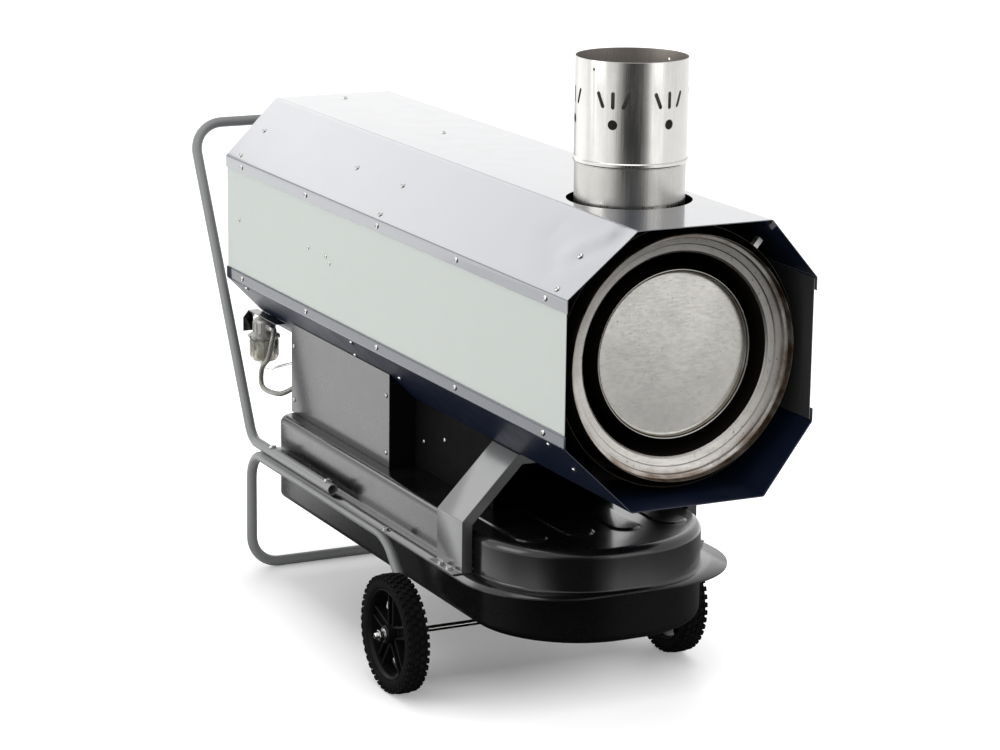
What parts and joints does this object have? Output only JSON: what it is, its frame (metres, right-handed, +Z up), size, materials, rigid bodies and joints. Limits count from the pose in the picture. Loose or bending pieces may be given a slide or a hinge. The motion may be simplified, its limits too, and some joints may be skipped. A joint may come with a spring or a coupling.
{
  "type": "indirect fired heater",
  "caption": "Wheeled indirect fired oil heater: octagonal casing with flue stub and ring outlet over a pressed fuel tank on a tube trolley with push handle.",
  "frame": {"origin": "on the floor under the middle of the bounding box", "axes": "+Z up; hot air leaves towards -Y and the push handle is at +Y; X runs across the trolley, along its axle"},
  "size_m": [0.69, 1.8106, 1.256],
  "materials": {
    "navy_paint": "gloss",
    "panel_grey": "satin",
    "black_paint": "satin",
    "dark_steel": "matte",
    "stainless": "brushed",
    "tube_grey": "satin",
    "bracket_grey": "satin",
    "zinc": "satin",
    "rubber": "matte",
    "black_plastic": "matte",
    "cast_grey": "cast",
    "clear_bowl": "clear",
    "filter_paper": "matte",
    "hose_braid": "braided",
    "red_plastic": "gloss",
    "green_lens": "gloss",
    "brass": "satin"
  },
  "bodies": {
    "heater": {"upper_cover": "navy_paint", "lower_cover": "navy_paint", "rear_panel": "navy_paint", "left_side_panel": "panel_grey", "right_side_panel": "panel_grey", "inner_duct": "dark_steel", "heat_exchanger": "stainless", "combustion_chamber": "stainless", "chamber_front_disc": "stainless", "burner_plate": "dark_steel", "front_saddle_plate": "dark_steel", "rear_saddle_plate": "dark_steel", "flue_sleeve": "stainless", "flue_stub": "stainless", "tank_upper_shell": "black_paint", "tank_lower_shell": "black_paint", "saddle_bracket": "bracket_grey", "support_channel": "black_paint", "equipment_box": "black_paint", "left_box_cover": "black_paint", "right_box_cover": "black_paint", "control_panel": "black_plastic", "pilot_lamp": "green_lens", "thermostat_socket": "black_plastic", "cable_gland": "black_plastic", "burner_control_unit": "black_plastic", "drain_plug": "brass", "filter_head": "cast_grey", "filter_bowl": "clear_bowl", "filter_element": "filter_paper", "filter_strap": "black_paint", "fuel_hose": "hose_braid", "supply_pipe": "zinc", "stand_frame": "tube_grey", "push_handle": "tube_grey", "axle": "zinc", "left_washer": "zinc", "right_washer": "zinc", "left_axle_nut": "zinc", "right_axle_nut": "zinc", "fan_shroud": "dark_steel", "fan_motor": "cast_grey", "motor_spider": "dark_steel", "inlet_grille": "zinc", "burner_body": "cast_grey", "burner_motor": "cast_grey", "fuel_pump": "cast_grey", "ignition_transformer": "black_plastic", "nozzle_holder": "brass", "limit_thermostat": "black_plastic"},
    "left_wheel": {"left_tyre": "rubber", "left_rim": "black_plastic"},
    "right_wheel": {"right_tyre": "rubber", "right_rim": "black_plastic"},
    "main_fan_wheel": {"main_fan": "black_plastic"},
    "burner_fan_wheel": {"burner_fan": "cast_grey"},
    "selector": {"selector_knob": "black_plastic"},
    "reset": {"reset_button": "red_plastic"},
    "fuel_cap": {"filler_cap": "black_plastic"}
  },
  "joints": [
    {"name": "left_wheel_spin", "type": "hinge", "parent": "heater", "child": "left_wheel", "pos_m": [-0.3015, -0.2885, 0.116], "axis": [1, 0, 0], "continuous": true},
    {"name": "right_wheel_spin", "type": "hinge", "parent": "heater", "child": "right_wheel", "pos_m": [0.3015, -0.2885, 0.116], "axis": [1, 0, 0], "continuous": true},
    {"name": "main_fan_spin", "type": "hinge", "parent": "heater", "child": "main_fan_wheel", "pos_m": [0, 0.6425, 0.7485], "axis": [0, 1, 0], "continuous": true},
    {"name": "burner_fan_spin", "type": "hinge", "parent": "heater", "child": "burner_fan_wheel", "pos_m": [0, 0.2595, 0.7485], "axis": [1, 0, 0], "continuous": true},
    {"name": "selector_turn", "type": "hinge", "parent": "heater", "child": "selector", "pos_m": [0.135, 0.4978, 0.4285], "axis": [0, 1, 0], "range_deg": [-60, 60]},
    {"name": "reset_press", "type": "slide", "parent": "heater", "child": "reset", "axis": [0, -1, 0], "range_m": [0, 0.003], "stiffness_N_per_m": 800},
    {"name": "fuel_cap_turn", "type": "hinge", "parent": "heater", "child": "fuel_cap", "pos_m": [0.172, -0.1855, 0.3585], "axis": [0, 0, 1], "range_deg": [0, 90]}
  ]
}
